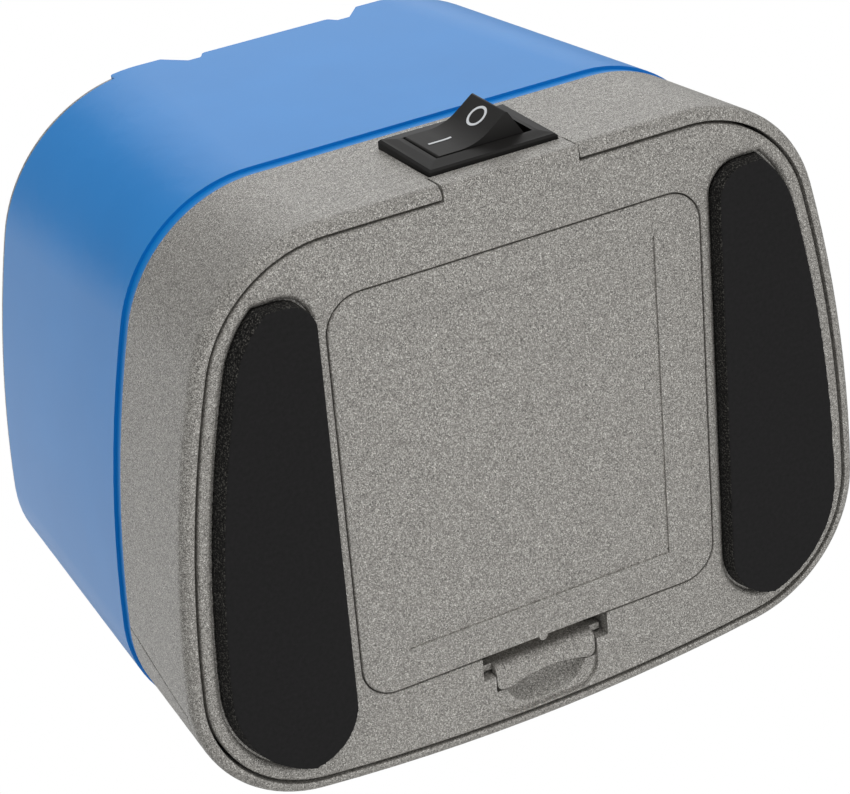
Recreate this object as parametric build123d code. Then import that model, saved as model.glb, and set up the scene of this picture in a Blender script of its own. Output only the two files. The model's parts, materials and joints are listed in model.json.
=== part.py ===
"""Battery-driven electric knife sharpener, built as an assembly of separate pieces.

Frame, in millimetres: +Z up, +Y towards the wall that carries the switch, +X to the right
of someone who stands at the other end. The origin is the middle of the footprint, on the
surface that the two foam pads stand on. The rocker lies in its ON position, with the door shut.
"""
from build123d import *
from math import cos, hypot, pi, radians, sin, sqrt, tan
import os

os.makedirs("parts", exist_ok=True)

# ---- Heights --------------------------------------------------------------------------------
pad_stand = 2.2                        # the pads stand proud of the base plate by this
underside = pad_stand                  # outer face of the base plate
foot_z = underside + 2.0               # widest level of the body, above the rounded foot
seam_z = underside + 24.0              # top edge of the grey collar
band_height = 2.0                      # recessed band between collar and upper housing
rim_z = underside + 76.6               # top of the upper housing's side walls
top_z = underside + 78.3               # level at which the upper outline is given

# ---- Body outline at three levels -------------------------------------------------------------
foot_half_width = 58.15
seam_half_width = 56.75
top_half_width = 52.9
rear_draft_low = 1.0                   # the rear wall leans in by this from foot to seam
rear_draft_high = 1.7                  # and by this from seam to top
foot_front_y = -47.8
seam_front_y = -46.0
top_front_y = -42.6
foot_rear_corner = 22.7
seam_rear_corner = 22.9
top_rear_corner = 26.8
foot_front_corner = 21.9
seam_front_corner = 20.6
top_front_corner = 17.0
side_arc_radius = 210.0                # the sides bow out in one long arc
side_apex_y = -25.6                    # where the body is widest
front_arc_radius = 320.0

# ---- Walls and clearances ---------------------------------------------------------------------
collar_wall = 1.9
housing_wall = 2.4
plate_thickness = 2.2
foot_round = 1.6
panel_gap = 0.25                       # visible joint between two fixed panels
plate_gap = 0.45                       # open groove between the collar and the base plate
fit_gap = 0.15                         # hidden joint between two fixed pieces
running_gap = 0.05                     # radial clearance of a running fit
band_depth = 0.5
tongue_height = 4.0                    # the housing reaches this far into the collar
tongue_wall = 1.5

# ---- Front fascia -------------------------------------------------------------------------------
fascia_thickness = 1.0
fascia_top_y = -22.1                   # its side seam leans from here at the top edge
fascia_foot_y = -26.5                  # to here above the foot
fascia_foot_height = 3.0

# ---- Battery door, its latch and the battery box ----------------------------------------------
door_width = 61.8
door_front_margin = 3.6                # from the box's inside to the door's front edge
door_rear_margin = 6.1
door_thickness = 2.0
door_corner = 5.5
door_gap = 0.2
label_width = 45.8
label_length = 53.4
label_depth = 0.3
label_shift = 0.3                      # of the label recess from the door's middle
gate_mark_x = 0.3                      # half-round bump on the door's front edge
gate_mark_radius = 0.7
hook_x = 18.0
hook_width = 6.0
hook_reach = 1.5
hook_thickness = 0.9
hook_root = 3.0                        # the hook starts this far inside the door's rear edge
hook_foot = 1.6
hook_lift = 0.3                        # the arm clears the plate by this and the door's gap
hook_room_gap = 0.5
hook_swing = 1.1                       # room ahead of the hook as the door turns
ledge_width = 1.9
ledge_thickness = 1.6
cell_diameter = 14.3
cell_body_length = 49.3
nub_diameter = 5.3
nub_height = 1.2
cell_pitch = 14.8
cell_count = 4
cell_clearance = 0.25
contact_thickness = 0.6
spring_length = 3.8
spring_wire = 0.7
box_wall = 2.0
roof_thickness = 1.8
box_front_y = -29.6                    # inner face of the box's front wall

latch_half_width = 8.7
latch_wall = 1.1
latch_radius = 2.4                     # outer radius of the spring bend
latch_bend_gap = 1.2                   # from the door's front edge to the middle of the bend
latch_bend_height = 3.6
tab_length = 3.2
tab_thickness = 1.5
tab_shoulder = 1.7                     # outer radius where the spring leg turns into the tab
tab_corner = 1.2
tab_scoop_radius = 19.9
tab_scoop_depth = 1.2
tab_scoop_x = -0.6
lug_half_width = 10.6
pocket_half_width = 11.05
pocket_step = 4.0                      # the pocket narrows this far from the door's edge
pocket_narrow_half = 9.0
pocket_length = 11.7
pocket_rear_gap = 0.7                  # behind the spring bend
pocket_depth = 6.6
pocket_corner = 3.8
pocket_step_depth = 0.6                # the U-shaped rim's step into the plate
tab_room = 3.4                         # depth of the room that the tab swings in
tab_room_gap = 0.4                     # in front of the tab
bowl_radius = 6.5                      # the finger bowl is a rod with rounded ends
bowl_depth = 4.0
bowl_half_length = 8.0
bowl_end_round = 6.0
bowl_gap = 0.6                         # from the bowl's front to the rim's step
cup_wall = 1.3

# ---- Foot pads ----------------------------------------------------------------------------------
pad_inner_x = 33.1
pad_inset = 5.4                        # from the body's widest outline
pad_rear_inset = 9.5                   # from the rear wall's widest line
pad_front_inset = 8.2
pad_recess = 1.0
pad_bead_gap = 0.9                     # open groove between a pad and the rounded rim outside it
pad_side_gap = 0.3
pad_flare = 0.6                        # the cut outer side leans out by this towards the plate
bead_round = 0.8                       # inner shoulder of that rim
mouth_steps = 4                        # facets in a rounded rim
plate_edge_round = 0.45
door_edge_round = 0.25
pad_corner = 5.0
pad_front_round = 9.0

# ---- Switch -------------------------------------------------------------------------------------
bezel_width = 21.0
bezel_height = 15.0
bezel_thickness = 1.5
bezel_stand = 0.7                      # the bezel's face stands proud of the foot's widest line
switch_z = underside + 12.0
switch_body_width = 18.8
switch_body_height = 12.8
switch_body_depth = 9.5
rocker_height = 9.4
rocker_gap = 0.2
bezel_chamfer = 0.3
bezel_crown = 0.35                     # the bezel's face rises by this towards its opening
rocker_half_length = 6.1               # from the middle to the edge of each end
rocker_rise = 5.85                     # height of those edges over the pivot
rocker_face = 4.3                      # from the pivot to the middle of the rocker's face
rocker_flat = 3.4                      # straight stretch of the face at each end
rocker_flare = 15.0                    # degrees the end faces lean outwards
rocker_skirt = 1.3                     # the end faces run down to this height over the pivot
rocker_end_round = 0.35
rocker_pivot_depth = 3.2               # behind the bezel's face
rocker_tilt = 18.0                     # degrees each way from level
rocker_hub_radius = 2.2
rocker_room = 2.2                      # free depth of the body behind the hub
rocker_pin_radius = 1.0
rocker_pin_length = 0.8
terminal_width = 4.8
terminal_thickness = 0.8
terminal_length = 4.4
terminal_x = 4.5
terminal_room = 1.1                    # between the terminals and the battery box
rear_tab_half_width = 11.0
rear_tab_height = 4.3

# ---- Knife slots in the top ---------------------------------------------------------------------
slot_floor_z = underside + 74.7
slot_inner_x = 12.2                    # foot of the slot's inner wall
slot_floor_width = 2.2
slot_inner_lean = 20.0                 # degrees from upright
slot_outer_low_lean = 40.0
slot_outer_low_rise = 5.3
slot_outer_high_lean = 30.0
slot_wall = 1.8
cover_band = 1.2                       # upright rim of the top cover
cover_rise = 15.2                      # from the rim to the plateau
cover_inset = 14.0                     # the shoulders draw in by this
cover_recess = 5.0                     # between the slots the cover stands back this far
cover_recess_height = 9.0
cover_wall = 2.2
cover_plateau_round = 6.0
cover_rim_round = 1.0
cover_lip_height = 2.0
cover_lip_wall = 1.3
panel_centre_half = 11.2               # straight middle of the notched wall
panel_centre_drop = 0.25
panel_raised_from = 17.2
panel_raised_to = 26.3
panel_raised_height = 1.9
notch_inner_round = 0.8                # rounds of the notched edge
notch_round = 0.8
notch_outer_round = 1.6
panel_end_round = 0.5
window_half_length = 13.0
window_low = 70.0                      # above the underside
window_high = 79.0

# ---- Drive ----------------------------------------------------------------------------------------
wheel_axis_forward = 1.0               # the wheels' axis lies this far in front of the door's middle
wheel_axis_z = underside + 60.0
wheel_radius = 18.0
wheel_edge = 0.6                       # bevel of the inner edge
wheel_rim_edge = 0.4                   # bevel of the rim
hub_flange_step = 4.0                  # the hub's flange stops this far inside the rim
hub_neck_step = 2.0
wheel_dish_radius = 10.5
wheel_rim_x = 11.6                     # outermost reach of a wheel's working face
wheel_inner_x = 6.4
hub_flange_x = 5.2
shaft_radius = 2.0
hub_radius = 5.0
hub_half_length = 12.0
plate_left_x = -17.8                   # outer face of the side plate that carries the gears
plate_right_x = 18.3                   # outer face of the other side plate
side_plate = 2.5
bush_radius = 3.5
bush_flange_radius = 5.0
bush_flange = 0.8
motor_radius = 11.9
motor_length = 26.9
motor_cap_length = 2.7
motor_shell = 0.8
motor_boss_radius = 3.05
motor_boss_length = 1.5
motor_shaft_radius = 1.0
core_radius = 8.6
core_start = 5.0                       # from the motor's face
core_length = 14.0
core_slot_half = 0.9
core_web_radius = 4.2
commutator_radius = 2.6
commutator_length = 4.0
magnet_start = 3.0                     # from the motor's face
magnet_length = 18.0
magnet_thickness = 1.7
magnet_angle = 130.0
gear_module = 0.7
gear_backlash = 0.16
gear_outer_x = -24.0
gear_width = 5.4
pinion_teeth = 12
idler_teeth = 36
wheel_teeth = 28
idler_from_wheel = -15.0               # direction from wheel axis to idler, degrees from +Y
motor_from_idler = -75.0               # direction from idler to motor
pin_stand = 0.8                        # a pin stands out past its clip by this
idler_pin_radius = 1.5
clip_thickness = 0.6
clip_radius = 3.0
frame_floor = 2.4
frame_half_x = 30.0
frame_front_y = -26.0
frame_rear_gap = 0.2                   # the floor reaches this far behind the motor
frame_post_x = 35.6
frame_post_y = 20.0
side_plate_rise = 4.5                  # of a side plate above its bush
side_plate_shoulder = 5.0              # half the flat top of a side plate
side_plate_front = 6.0                 # in front of the bush
side_plate_spread = 4.0                # wider than that at its foot
right_plate_rear = 14.0                # behind the axis, at the foot
right_plate_waist = 9.0
cradle_half = 8.0                      # the motor lies in a cradle this wide each way
cradle_drop = 6.0                      # whose top is this far below its axis
cradle_short = 4.0
frame_post_radius = 3.0
tray_radius = 19.5
tray_hub_gap = 1.5
tray_lip_drop = 1.0
tray_ear_drop = 6.0
tray_ear_height = 3.0
tray_ear_half = 8.5
tray_wall = 1.4
tray_half_width = 12.6
tray_end_wall = 1.2

# ---- Fasteners --------------------------------------------------------------------------------------
screw_radius = 1.25
screw_head_radius = 2.6
screw_head_height = 1.5
base_post_radius = 3.5
base_post_top = 40.0                   # above the underside
base_rear_post_x = 42.0
base_rear_post_inset = 20.3            # from the rear wall's widest line
base_front_post_x = 44.5
base_front_post_inset = 15.8
base_boss = 1.2                        # the plate is thicker by this under each post
base_boss_radius = 4.5
base_head_radius = 2.7
base_head_height = 1.0
base_screw_length = 11.0
rib_thickness = 2.0
rib_low = 28.0                         # above the underside
cover_post_x = 40.0
cover_post_y = 17.0
cover_post_radius = 3.0
lug_drop = 6.6                         # from the rim down to the lugs' top
lug_thickness = 2.4
cover_screw_length = 9.0
motor_screw_pitch = 8.0
motor_screw_radius = 1.0
motor_head_radius = 1.9
motor_head_height = 1.4
guide_spring_thickness = 0.5
guide_spring_half_length = 20.0
guide_spring_bulge = 1.6

# ---- Internal leads -----------------------------------------------------------------------------------
lead_radius = 0.65
lead_hole_gap = 0.2
lead_z = 12.0                          # height at which two leads leave the battery box
motor_tab_y = 0.5                      # thickness of a motor terminal
motor_tab_half_height = 1.2
motor_tab_length = 3.5
motor_tab_offset = 7.5                 # of each terminal from the motor's axis

reach = 150.0                          # longer than any piece, for cutting shapes


# ---- Small helpers ------------------------------------------------------------------------------------
def block(x, y, z):
    """A box from its lowest and highest x, y and z."""
    size = Box(x[1] - x[0], y[1] - y[0], z[1] - z[0])
    return Pos((x[0] + x[1]) / 2, (y[0] + y[1]) / 2, (z[0] + z[1]) / 2) * size


def rod_x(y, z, radius, start, end):
    """A cylinder along X."""
    return Pos((start + end) / 2, y, z) * Rot(0, 90, 0) * Cylinder(radius, end - start)


def rod_y(x, z, radius, start, end):
    """A cylinder along Y."""
    return Pos(x, (start + end) / 2, z) * Rot(90, 0, 0) * Cylinder(radius, end - start)


def rod_z(x, y, radius, start, end):
    """A cylinder along Z."""
    return Pos(x, y, (start + end) / 2) * Cylinder(radius, end - start)


def prism_x(points, start, end):
    """A prism along X from (y, z) points."""
    outline = Polyline([(start, y, z) for y, z in points], close=True)
    return extrude(make_face(outline), amount=end - start, dir=(1, 0, 0))


def prism_y(points, start, end):
    """A prism along Y from (x, z) points."""
    outline = Polyline([(x, start, z) for x, z in points], close=True)
    return extrude(make_face(outline), amount=end - start, dir=(0, 1, 0))


def mirrored(shape):
    """A shape and its mirror image across the plane x = 0."""
    return shape + mirror(shape, about=Plane.YZ)


def save(name, *solids):
    """Write one sub-part as a STEP file, with each of its solids apart."""
    parts = []
    for solid in solids:
        parts += list(solid.solids())
    shape = parts[0] if len(parts) == 1 else Compound(children=parts)
    shape.label = name
    export_step(shape, f"parts/{name}.step")


# ---- Places that the battery box and the switch give ------------------------------------------------
cell_length = cell_body_length + nub_height
box_rear_y = box_front_y + 2 * contact_thickness + spring_length + cell_length
door_front_y = box_front_y - door_front_margin
door_rear_y = box_rear_y + door_rear_margin
door_length = door_rear_y - door_front_y
door_y = (door_front_y + door_rear_y) / 2
label_y = door_y + label_shift
wheel_axis_y = door_y - wheel_axis_forward
latch_bend_y = door_front_y - latch_bend_gap
pocket_step_y = door_front_y - pocket_step
pocket_front_y = door_front_y - pocket_length
switch_back_y = box_rear_y + box_wall + terminal_room + terminal_length
bezel_face_y = switch_back_y + switch_body_depth + bezel_thickness
rocker_sweep = hypot(rocker_half_length, rocker_rise)      # radius that the rocker's ends sweep
rocker_pivot_y = bezel_face_y - rocker_pivot_depth
foot_rear_y = bezel_face_y - bezel_stand
seam_rear_y = foot_rear_y - rear_draft_low
top_rear_y = seam_rear_y - rear_draft_high
pad_rear_y = foot_rear_y - pad_rear_inset
pad_front_y = foot_front_y + pad_front_inset
base_posts = ((base_rear_post_x, foot_rear_y - base_rear_post_inset),
              (base_front_post_x, foot_front_y + base_front_post_inset))


# ---- The body's outline -----------------------------------------------------------------------------
def mix(low, high, share):
    return low + (high - low) * share


def outline(z):
    """Half width, rear, front, rear corner and front corner of the body at a height."""
    foot = (foot_half_width, foot_rear_y, foot_front_y, foot_rear_corner, foot_front_corner)
    seam = (seam_half_width, seam_rear_y, seam_front_y, seam_rear_corner, seam_front_corner)
    top = (top_half_width, top_rear_y, top_front_y, top_rear_corner, top_front_corner)
    if z <= seam_z:
        share = max(0.0, (z - foot_z) / (seam_z - foot_z))
        return [mix(a, b, share) for a, b in zip(foot, seam)]
    share = (z - seam_z) / (top_z - seam_z)
    return [mix(a, b, share) for a, b in zip(seam, top)]


def body_face(z, inset=0.0):
    """The body's cross-section at a height, drawn in by inset."""
    half, rear, front, rear_corner, front_corner = outline(z)
    side = Circle(side_arc_radius - inset)
    face = Pos(half - side_arc_radius, side_apex_y) * Rot(0, 0, 180) * side
    face = face & (Pos(side_arc_radius - half, side_apex_y) * side)
    face = face & (Pos(0, front + front_arc_radius) * Rot(0, 0, 90) * Circle(front_arc_radius - inset))
    face = face & (Pos(0, rear - inset - reach) * Rectangle(4 * reach, 2 * reach))
    face = fillet(face.vertices().sort_by(Axis.Y)[-2:], rear_corner - inset)
    face = fillet(face.vertices().sort_by(Axis.Y)[:2], front_corner - inset)
    return Pos(0, 0, z) * face


def body(low, high, inset=0.0):
    """The solid body between two heights, drawn in by inset."""
    levels = [low] + [z for z in (foot_z, seam_z) if low < z < high] + [high]
    solid = Part()
    for start, end in zip(levels, levels[1:]):
        solid += loft([body_face(start, inset), body_face(end, inset)], ruled=True)
    return solid


def wall_y(z):
    """The switch wall's outer face at a height."""
    return outline(z)[1]


# ---- Places worked out from the sizes above ---------------------------------------------------------
plate_top = underside + plate_thickness
door_top = underside + door_thickness
cell_z = door_top + cell_clearance + cell_diameter / 2
box_half = cell_pitch * cell_count / 2 + 2 * cell_clearance
roof_low = cell_z + cell_diameter / 2 + 2 * cell_clearance
roof_high = roof_low + roof_thickness
frame_top = roof_high + frame_floor
idler_distance = gear_module * (idler_teeth + wheel_teeth) / 2
idler_y = wheel_axis_y + idler_distance * cos(radians(idler_from_wheel))
idler_z = wheel_axis_z + idler_distance * sin(radians(idler_from_wheel))
motor_distance = gear_module * (pinion_teeth + idler_teeth) / 2
motor_y = idler_y + motor_distance * cos(radians(motor_from_idler))
motor_z = idler_z + motor_distance * sin(radians(motor_from_idler))
frame_rear_y = motor_y + motor_radius + frame_rear_gap


# ---- Shell pieces -------------------------------------------------------------------------------------
def fascia_zone(gap):
    """The room that the fascia fills, ahead of two leaning seams."""
    low = underside + fascia_foot_height + gap
    points = [(fascia_top_y - gap, seam_z), (fascia_foot_y - gap, low), (-reach, low), (-reach, seam_z)]
    return prism_x(points, -reach, reach)


def front_fascia():
    skin = body(foot_z, seam_z) - body(foot_z, seam_z, fascia_thickness)
    return skin & fascia_zone(panel_gap / 2)


def switch_hole():
    """The room for the switch in the rear wall, with the flat seat under its bezel."""
    half = bezel_width / 2 + fit_gap
    rise = bezel_height / 2 + fit_gap
    seat = block((-half, half), (bezel_face_y - bezel_thickness, reach), (switch_z - rise, switch_z + rise))
    half = switch_body_width / 2 + fit_gap
    rise = switch_body_height / 2 + fit_gap
    return seat + block((-half, half), (0, reach), (switch_z - rise, switch_z + rise))


def lower_collar():
    foot = extrude(body_face(foot_z), amount=-(foot_z - underside))
    foot = fillet(foot.edges().group_by(Axis.Z)[0], foot_round)
    shell = body(foot_z, seam_z) + foot
    hollow = body(foot_z, seam_z, collar_wall)
    hollow += extrude(body_face(foot_z, collar_wall), amount=-(foot_z - underside))
    shell -= hollow
    half = rear_tab_half_width + panel_gap
    shell -= block((-half, half), (0, reach), (underside - 1, underside + rear_tab_height + panel_gap))
    shell -= switch_hole()
    skin = body(foot_z, seam_z) - body(foot_z, seam_z, fascia_thickness + fit_gap / 2)
    return shell - (skin & fascia_zone(0))


def slot_profile(grow=0.0):
    """A knife slot's (x, z) outline on the +X side, open at the top, grown outwards by grow."""
    inner = radians(slot_inner_lean)
    low = radians(slot_outer_low_lean)
    high = radians(slot_outer_high_lean)
    floor_z = slot_floor_z - grow
    bend_z = slot_floor_z + slot_outer_low_rise
    open_z = rim_z + cover_band + cover_rise + 5
    foot_x = slot_inner_x + slot_floor_width
    bend_x = foot_x + slot_outer_low_rise * tan(low)
    inner_shift = grow / cos(inner)
    low_shift = grow / cos(low)
    inner_x = slot_inner_x - inner_shift
    return [
        (inner_x - grow * tan(inner), floor_z),
        (foot_x + low_shift - grow * tan(low), floor_z),
        (bend_x + low_shift, bend_z),
        (bend_x + low_shift + (open_z - bend_z) * tan(high), open_z),
        (inner_x + (open_z - slot_floor_z) * tan(inner), open_z),
    ]


def slots(grow=0.0):
    return mirrored(prism_y(slot_profile(grow), -reach, reach))


def above_panels():
    """Everything above the notched top edge of the front and rear walls."""
    middle = rim_z - panel_centre_drop
    high = rim_z + panel_raised_height
    sky = high + reach
    side = [(panel_centre_half, middle), (slot_inner_x, slot_floor_z),
            (slot_inner_x + slot_floor_width, slot_floor_z), (panel_raised_from, high),
            (panel_raised_to, high), (panel_raised_to, rim_z), (reach, rim_z), (reach, sky)]
    points = side + [(-x, z) for x, z in reversed(side)]
    face = make_face(Polyline([(x, -reach, z) for x, z in points], close=True))
    for (x, z), radius in zip(side, (notch_inner_round, notch_round, notch_round, notch_outer_round,
                                    panel_end_round)):
        corners = [v for v in face.vertices() if hypot(abs(v.X) - x, v.Z - z) < 0.01]
        face = fillet(corners, radius)
    return extrude(face, amount=2 * reach, dir=(0, 1, 0))


def wall_ribs(x, y, low, high, width):
    """Ribs from a place out to the side wall, ending inside the wall."""
    rib = block((x, reach), (y - width / 2, y + width / 2), (low, high))
    return rib & body(low, high, housing_wall / 2)


def upper_housing():
    high = rim_z + panel_raised_height
    band_top = seam_z + band_height
    shell = body(band_top, high) - body(band_top, high, housing_wall)
    band_low = seam_z - tongue_height
    tongue_inset = collar_wall + fit_gap
    band = body(seam_z, band_top, band_depth) - body(seam_z, band_top, housing_wall)
    band += body(band_low, seam_z, tongue_inset) - body(band_low, seam_z, tongue_inset + tongue_wall)
    band += body(seam_z, seam_z + 1.0, tongue_inset) - body(seam_z, seam_z + 1.0, tongue_inset + tongue_wall)
    shell += band
    shell -= above_panels()
    notch = slot_profile()
    shell -= mirrored(prism_y(notch, -reach, reach))
    fixings = Part()
    rib_z = underside + rib_low
    post_top = underside + base_post_top
    for x, y in base_posts:
        fixings += rod_z(x, y, base_post_radius, plate_top + base_boss, post_top)
        fixings += wall_ribs(x, y, rib_z, post_top, rib_thickness)
        fixings -= rod_z(x, y, screw_radius, plate_top, plate_top + base_boss + base_screw_length + 1)
    lug_top = rim_z - lug_drop
    for y in (-cover_post_y, cover_post_y):
        lug = wall_ribs(cover_post_x - cover_post_radius, y, lug_top - lug_thickness, lug_top,
                        2 * cover_post_radius + 2)
        fixings += lug - rod_z(cover_post_x, y, screw_radius + fit_gap, 0, lug_top + 1)
    return shell + mirrored(fixings)


def top_cover():
    rim = extrude(body_face(rim_z), amount=cover_band)
    low = Pos(0, 0, cover_band) * body_face(rim_z)
    plateau = Pos(0, 0, cover_band + cover_rise) * body_face(rim_z, cover_inset)
    dome = rim + loft([low, plateau], ruled=True)
    dome = fillet(dome.faces().sort_by(Axis.Z)[-1].edges(), cover_plateau_round)
    bend_z = rim_z + cover_band
    bend = [e for e in dome.edges() if abs(e.bounding_box().min.Z - bend_z) < 0.01
            and abs(e.bounding_box().max.Z - bend_z) < 0.01]
    dome = fillet(bend, cover_rim_round)
    inner_low = body_face(rim_z, housing_wall)
    inner_rise = cover_band + cover_rise - cover_wall
    inner_high = Pos(0, 0, inner_rise) * body_face(rim_z, cover_inset + cover_wall * 0.6)
    room = loft([inner_low, inner_high], ruled=True)
    shell = dome - room
    shell += (dome & slots(slot_wall)) & block((-reach, reach), (-reach, reach), (rim_z, reach))
    keel = slots(slot_wall) & body(slot_floor_z - slot_wall, rim_z, housing_wall + fit_gap)
    shell += keel
    lip_inset = housing_wall + fit_gap
    lip_low = rim_z - cover_lip_height
    lip = body(lip_low, rim_z, lip_inset) - body(lip_low, rim_z, lip_inset + cover_lip_wall)
    lip += body(rim_z, rim_z + 1.0, lip_inset) - body(rim_z, rim_z + 1.0, lip_inset + cover_lip_wall)
    shell += lip
    low, high = rim_z - cover_wall, rim_z + cover_recess_height
    centre = block((-panel_raised_from, panel_raised_from), (-reach, reach), (low, high))
    backing = body(low, high, lip_inset) - body(low, high, cover_recess + cover_wall)
    shell += centre & backing & (dome + body(low, rim_z, lip_inset))
    shell -= centre & (body(rim_z, high, -1.0) - body(rim_z, high, cover_recess))
    shell -= slots()
    low = lip_low - slot_wall
    half = panel_raised_to + panel_gap
    behind_panels = body(low, high, -1.0) - body(low, high, lip_inset)
    shell -= behind_panels & block((-half, half), (-reach, reach), (low, high))
    window = (underside + window_low, underside + window_high)
    length = (wheel_axis_y - window_half_length, wheel_axis_y + window_half_length)
    shell -= block((-slot_inner_x - 1.4, slot_inner_x + 1.4), length, window)
    lug_top = rim_z - lug_drop
    posts = Part()
    for y in (-cover_post_y, cover_post_y):
        post = rod_z(cover_post_x, y, cover_post_radius, lug_top, rim_z + cover_rise)
        posts += post & (dome + body(lug_top, rim_z, housing_wall + fit_gap))
        posts -= rod_z(cover_post_x, y, screw_radius, lug_top - 1, lug_top + cover_screw_length)
    return shell + mirrored(posts)


def pad_face(gap=0.0, outer_gap=0.0):
    """A pad's outline on the +X side, grown by gap, and by outer_gap towards the body's edge."""
    front, rear = pad_front_y - max(gap, outer_gap), pad_rear_y + gap
    strip = Pos(pad_inner_x - gap + reach / 2, (front + rear) / 2) * Rectangle(reach, rear - front)
    corners = strip.vertices().sort_by(Axis.X)[:2].sort_by(Axis.Y)
    strip = fillet(corners[-1:], pad_corner + gap)
    corners = strip.vertices().sort_by(lambda v: hypot(v.X - pad_inner_x, v.Y - front))
    strip = fillet(corners[:1], pad_front_round + gap)
    return strip & (Pos(0, 0, -foot_z) * body_face(foot_z, pad_inset - max(gap, outer_gap)))


def foot_pad(side):
    wide = Pos(0, 0, pad_stand + pad_recess) * pad_face(0.0, pad_flare)
    pad = loft([pad_face(), wide], ruled=True)
    return pad if side > 0 else mirror(pad, about=Plane.YZ)


def door_face(gap=0.0):
    """The door's outline, grown by gap."""
    return RectangleRounded(door_width + 2 * gap, door_length + 2 * gap, door_corner + gap)


def hook_block():
    """A hook on the +X side: its foot stands on the door and its arm reaches behind the plate."""
    x = (hook_x - hook_width / 2, hook_x + hook_width / 2)
    start = door_rear_y - hook_root
    low = door_top + hook_lift
    foot = block(x, (start, start + hook_foot), (door_top - 1, low + hook_thickness))
    return foot + block(x, (start, door_rear_y + hook_reach), (low, low + hook_thickness))


def hook_room():
    """The room that a hook swings through as the door turns about its rear edge."""
    x = (hook_x - hook_width / 2 - hook_room_gap, hook_x + hook_width / 2 + hook_room_gap)
    y = (door_rear_y - hook_root - hook_swing, door_rear_y + hook_reach + hook_room_gap)
    low = door_top + hook_lift - hook_room_gap
    return block(x, y, (low, door_top + hook_lift + hook_thickness + hook_room_gap))


def battery_cover():
    door = extrude(Pos(0, door_y, underside) * door_face(), amount=door_thickness)
    door = fillet(door.edges().group_by(Axis.Z)[0], door_edge_round)
    label = Pos(0, label_y, underside + label_depth / 2) * Box(label_width, label_length, label_depth)
    door -= label
    door += rod_z(gate_mark_x, door_front_y, gate_mark_radius, underside, door_top)
    return door + mirrored(hook_block())


def latch_pocket():
    """The room of the finger bowl, the swinging tab and the latch's spring bend."""
    low = underside - 1
    pocket_rear_y = latch_bend_y + latch_radius + pocket_rear_gap
    pocket = block((-pocket_half_width, pocket_half_width), (pocket_step_y, pocket_rear_y),
                   (low, underside + pocket_depth))
    drop = pocket_step_y - pocket_front_y
    plan = RectangleRounded(2 * pocket_narrow_half, 2 * drop, pocket_corner)
    rim = extrude(Pos(0, pocket_step_y, low) * plan, amount=1 + pocket_step_depth)
    front = block((-reach, reach), (-reach, pocket_step_y + 0.01), (low, reach))
    tab_end_y = latch_bend_y - latch_radius - tab_length - tab_room_gap
    pocket += block((-pocket_narrow_half, pocket_narrow_half), (tab_end_y, pocket_step_y + 0.01),
                    (low, underside + tab_room))
    sink = bowl_radius - bowl_depth
    bowl_y = pocket_front_y + bowl_gap + sqrt(bowl_radius ** 2 - sink ** 2)
    bowl = rod_x(bowl_y, underside - sink, bowl_radius, -bowl_half_length, bowl_half_length)
    bowl = fillet(bowl.edges().filter_by(GeomType.CIRCLE), bowl_end_round)
    return pocket + (rim & front) + (bowl & front)


def rounded_mouth(face_at, radius):
    """A cutter that rounds an opening's rim in the plate's outer face; face_at(grow) is its outline."""
    turns = [radians(90 * step / mouth_steps) for step in range(mouth_steps + 1)]
    faces = [Pos(0, 0, underside + radius * (1 - cos(turn))) * face_at(radius * (1 - sin(turn)))
             for turn in turns]
    cutter = extrude(faces[0], amount=-radius)
    for low, high in zip(faces, faces[1:]):
        cutter += loft([low, high], ruled=True)
    return cutter


def pad_recess_face(grow=0.0):
    return pad_face(pad_side_gap + grow, pad_bead_gap + grow)


def door_opening_face(grow=0.0):
    return Pos(0, door_y) * door_face(door_gap + grow)


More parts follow.
